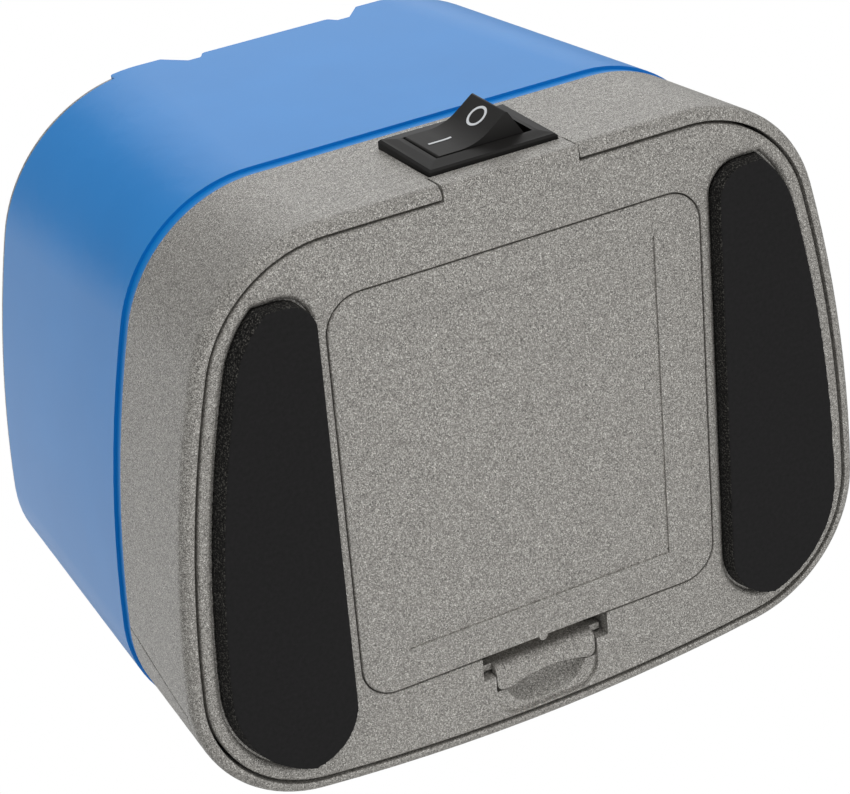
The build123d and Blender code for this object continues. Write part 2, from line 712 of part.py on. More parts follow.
def base_plate():
    edge = collar_wall + plate_gap
    down = Pos(0, 0, underside - foot_z)
    plate = down * extrude(body_face(foot_z, edge), amount=plate_thickness)
    plate = fillet(plate.edges().group_by(Axis.Z)[0], plate_edge_round)
    plate -= mirrored(extrude(pad_recess_face(), amount=pad_stand + pad_recess))
    plate -= mirrored(rounded_mouth(pad_recess_face, min(bead_round, pad_recess - 0.1)))
    plate -= extrude(Pos(0, 0, underside - 1) * door_opening_face(), amount=1 + plate_thickness)
    plate -= rounded_mouth(door_opening_face, door_edge_round)
    tab = extrude(body_face(foot_z), amount=-(foot_z - underside))
    tab = fillet(tab.edges().group_by(Axis.Z)[0], foot_round / 2)
    tab += body(foot_z, underside + rear_tab_height)
    tab_root = wall_y(foot_z) - collar_wall - plate_gap - 1
    half = rear_tab_half_width
    plate += tab & block((-half, half), (tab_root, reach), (underside, underside + rear_tab_height))
    outer = box_half + box_wall
    inside = block((-outer, outer), (door_front_y - ledge_width, door_rear_y + ledge_width),
                   (plate_top, plate_top + ledge_thickness))
    inside += block((-outer, outer), (box_front_y - box_wall, box_rear_y + box_wall), (plate_top, roof_high))
    cup_half = pocket_half_width + cup_wall
    inside += block((-cup_half, cup_half), (pocket_front_y + cup_wall + bowl_gap, box_front_y),
                    (plate_top, underside + pocket_depth + cup_wall))
    inside += block((-cup_half, cup_half), (pocket_front_y, box_front_y), (plate_top, plate_top + cup_wall))
    inside -= block((-box_half, box_half), (box_front_y, box_rear_y), (0, roof_low))
    plate += inside
    plate -= latch_pocket()
    plate -= mirrored(hook_room())
    for index in (0, cell_count - 1):
        hole_end = box_rear_y + box_wall + 1
        plate -= rod_y(cell_x(index), lead_z, lead_radius + lead_hole_gap, box_rear_y - 1, hole_end)
    for y in (-frame_post_y, frame_post_y):
        post = rod_z(frame_post_x, y, frame_post_radius, plate_top - 0.5, roof_high)
        post -= rod_z(frame_post_x, y, screw_radius, roof_high - 10, roof_high + 1)
        plate += mirrored(post)
    for x, y in base_posts:
        plate += mirrored(rod_z(x, y, base_boss_radius, plate_top - 0.5, plate_top + base_boss))
        sink = rod_z(x, y, base_head_radius + fit_gap, underside, underside + pad_recess + base_head_height)
        sink += rod_z(x, y, screw_radius + fit_gap, underside, plate_top + base_boss + 1)
        plate -= mirrored(sink)
    return plate


def battery_latch():
    bend_z = underside + latch_bend_height
    inner = latch_radius - latch_wall
    ring = rod_x(latch_bend_y, bend_z, latch_radius, -latch_half_width, latch_half_width)
    ring -= rod_x(latch_bend_y, bend_z, inner, -reach, reach)
    ring = ring & block((-reach, reach), (-reach, reach), (bend_z, reach))
    span = (-latch_half_width, latch_half_width)
    rear_leg = block(span, (latch_bend_y + inner, latch_bend_y + latch_radius), (door_top, bend_z))
    front_y = latch_bend_y - latch_radius
    tab_low = underside + 0.2
    leg_y = latch_bend_y - inner
    tab_front_y = front_y - tab_length
    tab = block(span, (front_y, leg_y), (tab_low, bend_z))
    tab += block(span, (tab_front_y, front_y), (tab_low, tab_low + tab_thickness))
    low_edges = tab.edges().filter_by(Axis.X).group_by(Axis.Z)[0]
    tab = fillet(low_edges.sort_by(Axis.Y)[-1:], tab_shoulder)
    tab = fillet(tab.edges().filter_by(Axis.Z).sort_by(Axis.Y)[:2], tab_corner)
    scoop_y = tab_front_y + tab_scoop_depth - tab_scoop_radius
    tab -= rod_z(tab_scoop_x, scoop_y, tab_scoop_radius, 0, reach)
    lugs = block((-lug_half_width, lug_half_width), (front_y, leg_y),
                 (underside + 1.8, underside + 3.2))
    return ring + rear_leg + tab + lugs


# ---- Switch -------------------------------------------------------------------------------------------
def rocker_profile():
    """The rocker seen along its pivot, level, about the pivot as origin."""
    lean = radians(rocker_tilt)
    flat_x = rocker_half_length - rocker_flat * cos(lean)
    flat_y = rocker_rise - rocker_flat * sin(lean)
    foot_x = rocker_half_length + (rocker_rise - rocker_skirt) * tan(radians(rocker_flare))
    dish = ThreePointArc((-flat_x, flat_y), (0, rocker_face), (flat_x, flat_y))
    sides = Polyline([(flat_x, flat_y), (rocker_half_length, rocker_rise), (foot_x, rocker_skirt),
                      (rocker_hub_radius, -rocker_hub_radius), (-rocker_hub_radius, -rocker_hub_radius),
                      (-foot_x, rocker_skirt), (-rocker_half_length, rocker_rise), (-flat_x, flat_y)])
    face = make_face([dish] + list(sides.edges()))
    tips = [v for v in face.vertices() if abs(v.Y - rocker_rise) < 0.01]
    return fillet(tips, rocker_end_round)


def switch_rocker():
    rocker = extrude(rocker_profile(), amount=rocker_height / 2, both=True)
    rocker += Cylinder(rocker_hub_radius, rocker_height)
    rocker += Cylinder(rocker_pin_radius, rocker_height + 2 * rocker_pin_length)
    return Pos(0, rocker_pivot_y, switch_z) * Rot(0, 0, -rocker_tilt) * rocker


def switch_body():
    rise = bezel_height / 2
    seat_y = bezel_face_y - bezel_thickness
    body_part = block((-bezel_width / 2, bezel_width / 2), (seat_y, bezel_face_y),
                      (switch_z - rise, switch_z + rise))
    body_part = chamfer(body_part.faces().sort_by(Axis.Y)[-1].edges(), bezel_chamfer)
    front = Plane((0, bezel_face_y, switch_z), x_dir=(1, 0, 0), z_dir=(0, 1, 0))
    outer = front * Rectangle(bezel_width - 2 * bezel_chamfer, bezel_height - 2 * bezel_chamfer)
    inner = front.offset(bezel_crown) * Rectangle(2 * rocker_sweep, rocker_height + 2 * bezel_chamfer)
    body_part += loft([outer, inner], ruled=True)
    half = switch_body_width / 2
    rise = switch_body_height / 2
    back_y = seat_y - switch_body_depth
    body_part += block((-half, half), (back_y, seat_y), (switch_z - rise, switch_z + rise))
    cavity = Pos(0, rocker_pivot_y, switch_z) * Cylinder(rocker_sweep + rocker_gap,
                                                         rocker_height + 2 * rocker_gap)
    cavity_back_y = rocker_pivot_y - rocker_hub_radius - rocker_room
    cavity = cavity & block((-reach, reach), (cavity_back_y, reach), (0, reach))
    body_part -= cavity
    pin_half = rocker_height / 2 + rocker_pin_length + rocker_gap
    return body_part - rod_z(0, rocker_pivot_y, rocker_pin_radius + running_gap, switch_z - pin_half,
                             switch_z + pin_half)


def switch_terminals():
    back_y = bezel_face_y - bezel_thickness - switch_body_depth
    tabs = []
    for x in (-terminal_x, terminal_x):
        tabs.append(block((x - terminal_thickness / 2, x + terminal_thickness / 2),
                          (back_y - terminal_length, back_y),
                          (switch_z - terminal_width / 2, switch_z + terminal_width / 2)))
    return tabs


# ---- Batteries and contacts ---------------------------------------------------------------------------
def cell_x(index):
    return (index - (cell_count - 1) / 2) * cell_pitch


def cell_points_rear(index):
    """Every second cell has its nub towards the switch wall."""
    return index % 2 == 0


def battery_cell(index):
    x = cell_x(index)
    if cell_points_rear(index):
        start = box_front_y + contact_thickness + spring_length
        body_part = rod_y(x, cell_z, cell_diameter / 2, start, start + cell_body_length)
        nub = rod_y(x, cell_z, nub_diameter / 2, start + cell_body_length, start + cell_length)
    else:
        end = box_rear_y - contact_thickness - spring_length
        body_part = rod_y(x, cell_z, cell_diameter / 2, end - cell_body_length, end)
        nub = rod_y(x, cell_z, nub_diameter / 2, end - cell_length, end - cell_body_length)
    return chamfer(body_part.edges(), 0.5) + nub


def contact_springs():
    springs = []
    height = spring_length - spring_wire
    for index in range(cell_count):
        start = box_front_y + contact_thickness if cell_points_rear(index) else box_rear_y - contact_thickness
        turn = -90 if cell_points_rear(index) else 90
        coil = Helix(pitch=height / 3, height=height, radius=4.2)
        wire = sweep(Plane(origin=coil @ 0, z_dir=coil % 0) * Circle(spring_wire / 2), path=coil)
        lift = spring_wire / 2 + 0.02
        springs.append(Pos(cell_x(index), start, cell_z) * Rot(turn, 0, 0) * Pos(0, 0, lift) * wire)
    return springs


def contact_plates(rear):
    """Flat strips that join neighbouring cells; the outer two at the rear carry the leads."""
    low_y = box_rear_y - contact_thickness if rear else box_front_y
    y = (low_y, low_y + contact_thickness)
    z = (cell_z - 5.0, cell_z + 5.0)
    half = cell_pitch / 2 - 0.6
    groups = [(0,), (1, 2), (3,)] if rear else [(0, 1), (2, 3)]
    return [block((cell_x(group[0]) - half, cell_x(group[-1]) + half), y, z) for group in groups]


# ---- Motor --------------------------------------------------------------------------------------------
motor_face_x = plate_left_x + side_plate
motor_cap_x = motor_face_x + motor_length - motor_cap_length


def motor_can():
    can = rod_x(motor_y, motor_z, motor_radius, motor_face_x, motor_cap_x)
    can = fillet(can.edges().sort_by(Axis.X)[:1], 1.0)
    can += rod_x(motor_y, motor_z, motor_boss_radius, motor_face_x - motor_boss_length, motor_face_x + 0.5)
    can -= rod_x(motor_y, motor_z, motor_radius - motor_shell, motor_face_x + motor_shell, motor_cap_x)
    can -= rod_x(motor_y, motor_z, motor_shaft_radius + running_gap, motor_face_x - 5, motor_face_x + 5)
    for y, z in motor_screw_places():
        can -= rod_x(y, z, motor_screw_radius, motor_face_x - 1, motor_face_x + 5)
    return can


def motor_end_cap():
    cap = rod_x(motor_y, motor_z, motor_radius, motor_cap_x, motor_cap_x + motor_cap_length)
    plug = rod_x(motor_y, motor_z, motor_radius - motor_shell - 0.02, motor_cap_x - 2, motor_cap_x)
    cap += plug - rod_x(motor_y, motor_z, motor_radius - 2.5, motor_cap_x - 3, motor_cap_x)
    return cap - rod_x(motor_y, motor_z, motor_shaft_radius + running_gap, motor_cap_x - 3, motor_cap_x + 1.8)


def motor_terminals():
    end = motor_cap_x + motor_cap_length
    return [block((end, end + motor_tab_length), (motor_y - motor_tab_y / 2, motor_y + motor_tab_y / 2),
                  (motor_z + rise - motor_tab_half_height, motor_z + rise + motor_tab_half_height))
            for rise in (-motor_tab_offset, motor_tab_offset)]


def motor_magnets():
    start, end = motor_face_x + magnet_start, motor_face_x + magnet_start + magnet_length
    outer = motor_radius - motor_shell
    ring = rod_x(motor_y, motor_z, outer, start, end)
    ring -= rod_x(motor_y, motor_z, outer - magnet_thickness, start - 1, end + 1)
    half = radians(magnet_angle / 2)
    far = 2 * motor_radius
    magnets = []
    for side in (-1, 1):
        tip = far * cos(half)
        wedge = [(motor_y, motor_z), (motor_y + side * tip, motor_z + far * sin(half)),
                 (motor_y + side * far, motor_z + far * sin(half)),
                 (motor_y + side * far, motor_z - far * sin(half)),
                 (motor_y + side * tip, motor_z - far * sin(half))]
        magnets.append(ring & prism_x(wedge, -reach, reach))
    return magnets


def motor_core():
    start = motor_face_x + core_start
    core = rod_x(motor_y, motor_z, core_radius, start, start + core_length)
    for k in range(3):
        slot = block((start - 1, start + core_length + 1), (-core_slot_half, core_slot_half),
                     (core_web_radius, core_radius + 1))
        core -= Pos(0, motor_y, motor_z) * Rot(120 * k, 0, 0) * slot
    end = start + core_length
    core += rod_x(motor_y, motor_z, commutator_radius, end, end + commutator_length)
    return core - rod_x(motor_y, motor_z, motor_shaft_radius, -reach, reach)


def motor_screw_places():
    """Two screws, square to the line from the motor to the idler gear."""
    across = radians(motor_from_idler + 90)
    step_y, step_z = motor_screw_pitch * cos(across), motor_screw_pitch * sin(across)
    return [(motor_y + side * step_y, motor_z + side * step_z) for side in (-1, 1)]


# ---- Gears --------------------------------------------------------------------------------------------
def gear(teeth, y, z, phase, bore):
    """A spur gear about an axis along X, with the middle of one tooth at the angle phase."""
    pitch_radius = gear_module * teeth / 2
    tip_radius = pitch_radius + 0.95 * gear_module
    root_radius = pitch_radius - 1.25 * gear_module
    half_pitch = pi * gear_module / 4 - gear_backlash / 2
    tip_half = half_pitch - gear_module * tan(radians(22))
    root_half = half_pitch + 0.55 * gear_module * tan(radians(20))
    flanks = [(root_radius, root_half), (pitch_radius, half_pitch), (tip_radius, tip_half)]
    points = []
    for k in range(teeth):
        middle = phase + 2 * pi * k / teeth
        sides = [(radius, -half) for radius, half in flanks]
        sides += [(radius, half) for radius, half in reversed(flanks)]
        for radius, arc in sides:
            angle = middle + arc / radius
            points.append((y + radius * cos(angle), z + radius * sin(angle)))
    blank = prism_x(points, gear_outer_x, gear_outer_x + gear_width)
    return blank - rod_x(y, z, bore, gear_outer_x - 1, gear_outer_x + gear_width + 1)


def meshed_phase(teeth, phase, other_teeth, direction):
    """The phase of a gear that meshes with another one that lies in a direction from the first."""
    share = ((direction - phase) * teeth / (2 * pi)) % 1.0
    return direction + pi - (0.5 - share) * 2 * pi / other_teeth


motor_to_idler = radians(motor_from_idler + 180)
idler_to_wheel = radians(idler_from_wheel + 180)
pinion_phase = 0.0
idler_phase = meshed_phase(pinion_teeth, pinion_phase, idler_teeth, motor_to_idler)
wheel_phase = meshed_phase(idler_teeth, idler_phase, wheel_teeth, idler_to_wheel)


def clip(y, z, radius, start):
    """A retaining ring round a shaft."""
    ring = rod_x(y, z, clip_radius + radius - idler_pin_radius, start, start + clip_thickness)
    ring -= rod_x(y, z, radius, start - 1, start + 2)
    return ring - block((start - 1, start + 2), (y - radius * 0.5, y + radius * 0.5), (z - reach, z))


# ---- Sharpening set -----------------------------------------------------------------------------------
shaft_left_x = gear_outer_x - clip_thickness - 1.0
shaft_right_x = plate_right_x + bush_flange + clip_thickness + 1.0


def wheel_shaft():
    return rod_x(wheel_axis_y, wheel_axis_z, shaft_radius, shaft_left_x, shaft_right_x)


def shaft_bush(side):
    """A plain bush, pressed into its side plate, with its flange on the plate's inner face."""
    if side < 0:
        start, end, flange = plate_left_x, plate_left_x + side_plate, plate_left_x + side_plate
    else:
        start, end = plate_right_x - side_plate, plate_right_x
        flange = start - bush_flange
    bush = rod_x(wheel_axis_y, wheel_axis_z, bush_radius, start, end)
    bush += rod_x(wheel_axis_y, wheel_axis_z, bush_flange_radius, flange, flange + bush_flange)
    return bush - rod_x(wheel_axis_y, wheel_axis_z, shaft_radius + running_gap, -reach, reach)


def turned(points):
    """A body turned about the wheel axis from (x, radius) points."""
    face = make_face(Polyline([(x, radius, 0) for x, radius in points], close=True))
    return Pos(0, wheel_axis_y, wheel_axis_z) * revolve(face, Axis.X)


def grinding_wheel(side):
    dish_x = wheel_rim_x - (wheel_radius - wheel_dish_radius) * tan(radians(slot_inner_lean))
    points = [(wheel_inner_x, hub_radius), (wheel_inner_x, wheel_radius - wheel_edge),
              (wheel_inner_x + wheel_edge, wheel_radius), (wheel_rim_x - wheel_rim_edge, wheel_radius),
              (dish_x, wheel_dish_radius), (dish_x, hub_radius)]
    return turned([(side * x, radius) for x, radius in points])


def wheel_hub():
    flange_radius = wheel_radius - hub_flange_step
    side = [(hub_flange_x, hub_radius + hub_neck_step), (hub_flange_x, flange_radius),
            (wheel_inner_x, flange_radius), (wheel_inner_x, hub_radius), (hub_half_length, hub_radius),
            (hub_half_length, shaft_radius)]
    return turned([(-x, radius) for x, radius in reversed(side)] + side)


def shaft_clips():
    return [clip(wheel_axis_y, wheel_axis_z, shaft_radius, gear_outer_x - clip_thickness),
            clip(wheel_axis_y, wheel_axis_z, shaft_radius, plate_right_x + 0.1)]


# ---- Drive frame and tray -----------------------------------------------------------------------------
def drive_frame():
    frame = block((-frame_half_x, frame_half_x), (frame_front_y, frame_rear_y), (roof_high, frame_top))
    for x in (-frame_post_x, frame_post_x):
        for y in (-frame_post_y, frame_post_y):
            frame += rod_z(x, y, frame_post_radius, roof_high, frame_top)
            frame += block((min(x, 0), max(x, 0)), (y - frame_post_radius, y + frame_post_radius),
                           (roof_high, frame_top))
            frame -= rod_z(x, y, screw_radius + fit_gap, 0, reach)
    top = wheel_axis_z + bush_radius + side_plate_rise
    front = wheel_axis_y - bush_radius - side_plate_front
    shoulder = side_plate_shoulder
    left = [(front - side_plate_spread, frame_top), (frame_rear_y, frame_top),
            (frame_rear_y, motor_z + motor_radius), (idler_y + shoulder, idler_z + shoulder),
            (wheel_axis_y + shoulder, top), (wheel_axis_y - shoulder, top), (front, wheel_axis_z)]
    frame += prism_x(left, plate_left_x, plate_left_x + side_plate)
    right = [(front - side_plate_spread, frame_top), (wheel_axis_y + right_plate_rear, frame_top),
             (wheel_axis_y + right_plate_waist, wheel_axis_z), (wheel_axis_y + shoulder, top),
             (wheel_axis_y - shoulder, top), (front, wheel_axis_z)]
    frame += prism_x(right, plate_right_x - side_plate, plate_right_x)
    cradle = block((motor_face_x, motor_cap_x - cradle_short), (motor_y - cradle_half, motor_y + cradle_half),
                   (frame_top, motor_z - cradle_drop))
    frame += cradle
    frame -= rod_x(motor_y, motor_z, motor_radius + fit_gap, motor_face_x, motor_cap_x)
    frame -= rod_x(motor_y, motor_z, motor_boss_radius + fit_gap / 2, -reach, motor_face_x)
    frame -= rod_x(idler_y, idler_z, idler_pin_radius, -reach, 0)
    frame -= rod_x(wheel_axis_y, wheel_axis_z, bush_radius, -reach, reach)
    for y, z in motor_screw_places():
        frame -= rod_x(y, z, motor_screw_radius + fit_gap, -reach, motor_face_x)
    return frame


def swarf_tray():
    outer = tray_radius + tray_wall
    half = tray_half_width + tray_end_wall
    tray = rod_x(wheel_axis_y, wheel_axis_z, outer, -half, half)
    tray -= rod_x(wheel_axis_y, wheel_axis_z, tray_radius, -tray_half_width, tray_half_width)
    tray -= rod_x(wheel_axis_y, wheel_axis_z, hub_radius + tray_hub_gap, -half, half)
    tray = tray & block((-reach, reach), (-reach, reach), (0, wheel_axis_z - tray_lip_drop))
    ear_z = (wheel_axis_z - tray_ear_drop - tray_ear_height, wheel_axis_z - tray_ear_drop)
    ear_y = (wheel_axis_y - tray_ear_half, wheel_axis_y + tray_ear_half)
    tray += block((half - tray_end_wall / 2, plate_right_x - side_plate), ear_y, ear_z)
    tray += block((plate_left_x + side_plate, tray_end_wall / 2 - half), ear_y, ear_z)
    return tray


def idler_pin():
    tip_x = gear_outer_x - clip_thickness - pin_stand
    return rod_x(idler_y, idler_z, idler_pin_radius, tip_x, plate_left_x + side_plate)


def guide_spring(side):
    """A leaf spring that lies against the slot's outer wall and bows towards the blade."""
    profile = slot_profile()
    foot, bend, top = profile[1], profile[2], profile[3]
    low = (mix(foot[0], bend[0], 0.22), mix(foot[1], bend[1], 0.22))
    high = (mix(bend[0], top[0], 0.12), mix(bend[1], top[1], 0.12))
    chord = hypot(high[0] - low[0], high[1] - low[1])
    normal = ((low[1] - high[1]) / chord, (high[0] - low[0]) / chord)
    middle = ((low[0] + high[0]) / 2 + guide_spring_bulge * normal[0],
              (low[1] + high[1]) / 2 + guide_spring_bulge * normal[1])
    t = guide_spring_thickness
    shift = (t * normal[0], t * normal[1])
    y = -guide_spring_half_length
    inner = ThreePointArc((low[0], y, low[1]), (middle[0], y, middle[1]), (high[0], y, high[1]))
    outer = ThreePointArc((low[0] + shift[0], y, low[1] + shift[1]),
                          (middle[0] + shift[0], y, middle[1] + shift[1]),
                          (high[0] + shift[0], y, high[1] + shift[1]))
    ends = [Line(inner @ 0, outer @ 0), Line(inner @ 1, outer @ 1)]
    leaf = extrude(make_face([inner, outer] + ends), amount=2 * guide_spring_half_length, dir=(0, 1, 0))
    leaf = Pos(0, wheel_axis_y, 0) * leaf
    return leaf if side > 0 else mirror(leaf, about=Plane.YZ)


# ---- Fasteners ----------------------------------------------------------------------------------------
def screw_down(x, y, seat_z, length):
    """A screw along Z with its head above the seat (length down) or below it (length negative)."""
    sign = 1 if length > 0 else -1
    head = sorted((seat_z, seat_z + sign * screw_head_height))
    shank = sorted((seat_z, seat_z - length))
    screw = rod_z(x, y, screw_head_radius, *head) + rod_z(x, y, screw_radius, *shank)
    drive = sorted((seat_z + sign * (screw_head_height - 0.7), seat_z + sign * (screw_head_height + 1)))
    cross = block((x - 1.4, x + 1.4), (y - 0.3, y + 0.3), drive)
    return screw - cross - block((x - 0.3, x + 0.3), (y - 1.4, y + 1.4), drive)


def frame_screws():
    return [screw_down(x, y, frame_top, 9.0 + frame_floor)
            for x in (-frame_post_x, frame_post_x) for y in (-frame_post_y, frame_post_y)]


def base_screws():
    screws = []
    seat = underside + pad_recess + base_head_height
    for x, y in base_posts:
        for side in (-1, 1):
            screw = rod_z(side * x, y, base_head_radius, seat - base_head_height, seat)
            screw += rod_z(side * x, y, screw_radius, seat, plate_top + base_boss + base_screw_length)
            screws.append(screw - block((side * x - 1.4, side * x + 1.4), (y - 0.3, y + 0.3),
                                        (seat - base_head_height - 1, seat - 0.4)))
    return screws


def cover_screws():
    seat = rim_z - lug_drop - lug_thickness
    return [screw_down(x, y, seat, -(cover_screw_length + lug_thickness - 1))
            for x in (-cover_post_x, cover_post_x) for y in (-cover_post_y, cover_post_y)]


def motor_screws():
    screws = []
    for y, z in motor_screw_places():
        screw = rod_x(y, z, motor_head_radius, plate_left_x - motor_head_height, plate_left_x)
        screw += rod_x(y, z, motor_screw_radius, plate_left_x, motor_face_x + motor_shell + 1.0)
        screws.append(screw - block((-reach, plate_left_x - motor_head_height + 0.6), (y - 1.2, y + 1.2),
                                    (z - 0.25, z + 0.25)))
    return screws


# ---- Internal leads -------------------------------------------------------------------------------------
def lead(points):
    """A lead along straight runs joined by tangent arcs as large as the runs allow."""
    route = [Vector(*point) for point in points]
    runs = [b - a for a, b in zip(route, route[1:])]
    radii = []
    for before, after in zip(runs, runs[1:]):
        turn = radians(before.get_angle(after))
        radii.append(0.45 * min(before.length, after.length) / tan(turn / 2))
    print("lead radii", [round(radius, 1) for radius in radii])
    path = FilletPolyline(*points, radius=radii)
    start = Plane(origin=path @ 0, z_dir=path % 0)
    return sweep(start * Circle(lead_radius), path=path)


switch_tab_y = bezel_face_y - bezel_thickness - switch_body_depth - terminal_length / 2
switch_tab_x = terminal_x + terminal_thickness / 2
lead_rear_y = frame_rear_y + lead_radius + 0.75
motor_tab_x = motor_cap_x + motor_cap_length + motor_tab_length / 2
motor_tab_face = motor_y + motor_tab_y / 2
lead_exit_y = box_rear_y + box_wall + 3.6


def lead_battery():
    x = cell_x(0)
    return lead([(x, box_rear_y, lead_z), (x, lead_exit_y, lead_z),
                 (mix(x, -switch_tab_x, 0.3), lead_exit_y + 2.5, 13.0),
                 (-switch_tab_x - 5.6, switch_tab_y, switch_z), (-switch_tab_x, switch_tab_y, switch_z)])


def lead_switch():
    low = motor_z - motor_tab_offset
    return lead([(switch_tab_x, switch_tab_y, switch_z), (switch_tab_x + 5.6, switch_tab_y, switch_z),
                 (motor_tab_x + 1.0, switch_tab_y + 3.5, 16.5), (motor_tab_x + 1.5, lead_rear_y, 21.5),
                 (motor_tab_x + 1.0, lead_rear_y - 1.4, 28.5), (motor_tab_x, motor_tab_face + 6.0, low),
                 (motor_tab_x, motor_tab_face, low)])


def lead_motor():
    x = cell_x(cell_count - 1)
    high = motor_z + motor_tab_offset
    return lead([(x, box_rear_y, lead_z), (x, lead_exit_y, lead_z), (x + 0.8, lead_rear_y - 1.4, 16.5),
                 (x + 1.3, lead_rear_y, 23.0), (x, lead_rear_y - 2.0, 32.0),
                 (x - 4.0, lead_rear_y - 4.5, 41.0), (motor_tab_x, motor_tab_face + 6.6, high),
                 (motor_tab_x, motor_tab_face, high)])


# ---- Write every sub-part -----------------------------------------------------------------------------
save("lower_collar", lower_collar())
save("front_fascia", front_fascia())
save("upper_housing", upper_housing())
save("top_cover", top_cover())
save("base_plate", base_plate())
save("battery_cover", battery_cover())
save("battery_latch", battery_latch())
for side, hand in ((-1, "left"), (1, "right")):
    save(f"foot_pad_{hand}", foot_pad(side))
    save(f"grinding_wheel_{hand}", grinding_wheel(side))
    save(f"shaft_bush_{hand}", shaft_bush(side))
    save(f"guide_spring_{hand}", guide_spring(side))
save("switch_body", switch_body())
save("switch_rocker", switch_rocker())
save("switch_terminals", *switch_terminals())
for index in range(cell_count):
    save(f"battery_cell_{index + 1}", battery_cell(index))
save("contact_springs", *contact_springs())
save("contact_plates_front", *contact_plates(False))
save("contact_plates_rear", *contact_plates(True))
save("motor_can", motor_can())
save("motor_end_cap", motor_end_cap())
save("motor_magnets", *motor_magnets())
save("motor_terminals", *motor_terminals())
save("motor_core", motor_core())
save("motor_shaft", rod_x(motor_y, motor_z, motor_shaft_radius, gear_outer_x - 0.3, motor_cap_x + 1.5))
save("drive_pinion", gear(pinion_teeth, motor_y, motor_z, pinion_phase, motor_shaft_radius))
save("idler_gear", gear(idler_teeth, idler_y, idler_z, idler_phase, idler_pin_radius + running_gap))
save("drive_gear", gear(wheel_teeth, wheel_axis_y, wheel_axis_z, wheel_phase, shaft_radius))
save("idler_pin", idler_pin())
save("idler_clip", clip(idler_y, idler_z, idler_pin_radius, gear_outer_x - clip_thickness - 0.1))
save("wheel_shaft", wheel_shaft())
save("wheel_hub", wheel_hub())
save("shaft_clips", *shaft_clips())
save("drive_frame", drive_frame())
save("swarf_tray", swarf_tray())
save("frame_screws", *frame_screws())
save("base_screws", *base_screws())
save("cover_screws", *cover_screws())
save("motor_screws", *motor_screws())
save("lead_battery", lead_battery())
save("lead_switch", lead_switch())
save("lead_motor", lead_motor())
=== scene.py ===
# %% [markdown]
# # A cordless knife sharpener, dressed
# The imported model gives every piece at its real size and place. This lesson gives each
# visible piece its finish: moulded plastic with small soft edges, foam feet, and a rocker
# switch with its two marks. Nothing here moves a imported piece: where a piece needs a
# softer form, a copy of it is worked on and then stands for it. The lesson begins by
# loading the model as a fixed frame, in metres.

# %% Load the frame
import json
from math import radians

import bpy
from mathutils import Matrix, Vector


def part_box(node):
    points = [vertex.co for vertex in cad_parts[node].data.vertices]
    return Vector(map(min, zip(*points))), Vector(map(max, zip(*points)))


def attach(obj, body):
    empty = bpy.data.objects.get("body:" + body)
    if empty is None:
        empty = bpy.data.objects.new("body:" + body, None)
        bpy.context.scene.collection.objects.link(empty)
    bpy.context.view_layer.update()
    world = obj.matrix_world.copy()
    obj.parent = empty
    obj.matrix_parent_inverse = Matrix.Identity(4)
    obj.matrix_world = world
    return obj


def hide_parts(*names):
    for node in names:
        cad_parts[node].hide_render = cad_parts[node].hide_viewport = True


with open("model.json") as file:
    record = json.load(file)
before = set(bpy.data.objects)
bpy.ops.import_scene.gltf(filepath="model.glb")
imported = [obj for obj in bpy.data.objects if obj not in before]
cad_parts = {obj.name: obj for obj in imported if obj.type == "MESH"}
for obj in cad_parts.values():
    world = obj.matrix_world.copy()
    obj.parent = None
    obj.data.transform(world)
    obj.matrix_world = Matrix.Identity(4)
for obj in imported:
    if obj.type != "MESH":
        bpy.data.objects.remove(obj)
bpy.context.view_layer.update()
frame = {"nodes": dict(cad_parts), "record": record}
nodes = frame["nodes"]
mm = 0.001
print("pieces loaded:", len(nodes))

# %% [markdown]
# ## The camera
# The sharpener shows its underside and its rear wall, so the camera stands behind it and
# below the ground. A long lens far away keeps the edges nearly parallel. A camera can be
# turned by three angles, but it is easier to place it, aim it at a point on the ground
# plane, and then roll it about its own line of sight.

# %% Place the camera
camera_place = Vector((186.63, 203.30, -325.93)) * mm
camera_target = Vector((17.87, 14.20, 0.0)) * mm
camera_roll = radians(-53.67)
camera_lens = 124.36                   # focal length, in the same unit as the sensor's width
camera_sensor = 36.0
nearest_seen = 10 * mm

camera_data = bpy.data.cameras.new("camera")
camera_data.lens = camera_lens
camera_data.sensor_width = camera_sensor
camera_data.clip_start = nearest_seen
camera = bpy.data.objects.new("camera", camera_data)
bpy.context.scene.collection.objects.link(camera)
aim = (camera_target - camera_place).to_track_quat("-Z", "Y")
camera.matrix_world = (Matrix.Translation(camera_place) @ aim.to_matrix().to_4x4()
                       @ Matrix.Rotation(camera_roll, 4, "Z"))
bpy.context.scene.camera = camera
bpy.context.scene.view_settings.view_transform = "Standard"
print("camera distance:", round((camera_target - camera_place).length, 3), "m")

# %% [markdown]
# ## Helpers for materials
# Every finish starts from Blender's Principled shader. The first helpers make one, and
# turn a screen colour into the linear value that nodes take.


# %% A new material and its colours
def new_material(name, roughness=0.5, metallic=0.0, specular=0.5):
    material = bpy.data.materials.new(name)
    material.use_nodes = True
    shader = material.node_tree.nodes["Principled BSDF"]
    shader.inputs["Roughness"].default_value = roughness
    shader.inputs["Metallic"].default_value = metallic
    shader.inputs["Specular IOR Level"].default_value = specular
    return material, material.node_tree, shader


def srgb(red, green, blue):
    """A colour given as it looks on a screen, from 0 to 255, as the linear value nodes take."""
    channels = []
    for value in (red, green, blue):
        share = value / 255
        channels.append(share / 12.92 if share <= 0.04045 else ((share + 0.055) / 1.055) ** 2.4)
    return (*channels, 1.0)


# %% [markdown]
# A pattern could follow an unwrapped map, but these pieces have none and need none: all
# patterns read Object coordinates, which are in metres and stay on the piece when it
# moves. A noise's scale then counts its waves in a metre, so 1000 makes grains of 1 mm.


# %% Patterns on the piece itself
def place_on(tree):
    return tree.nodes.new("ShaderNodeTexCoord").outputs["Object"]


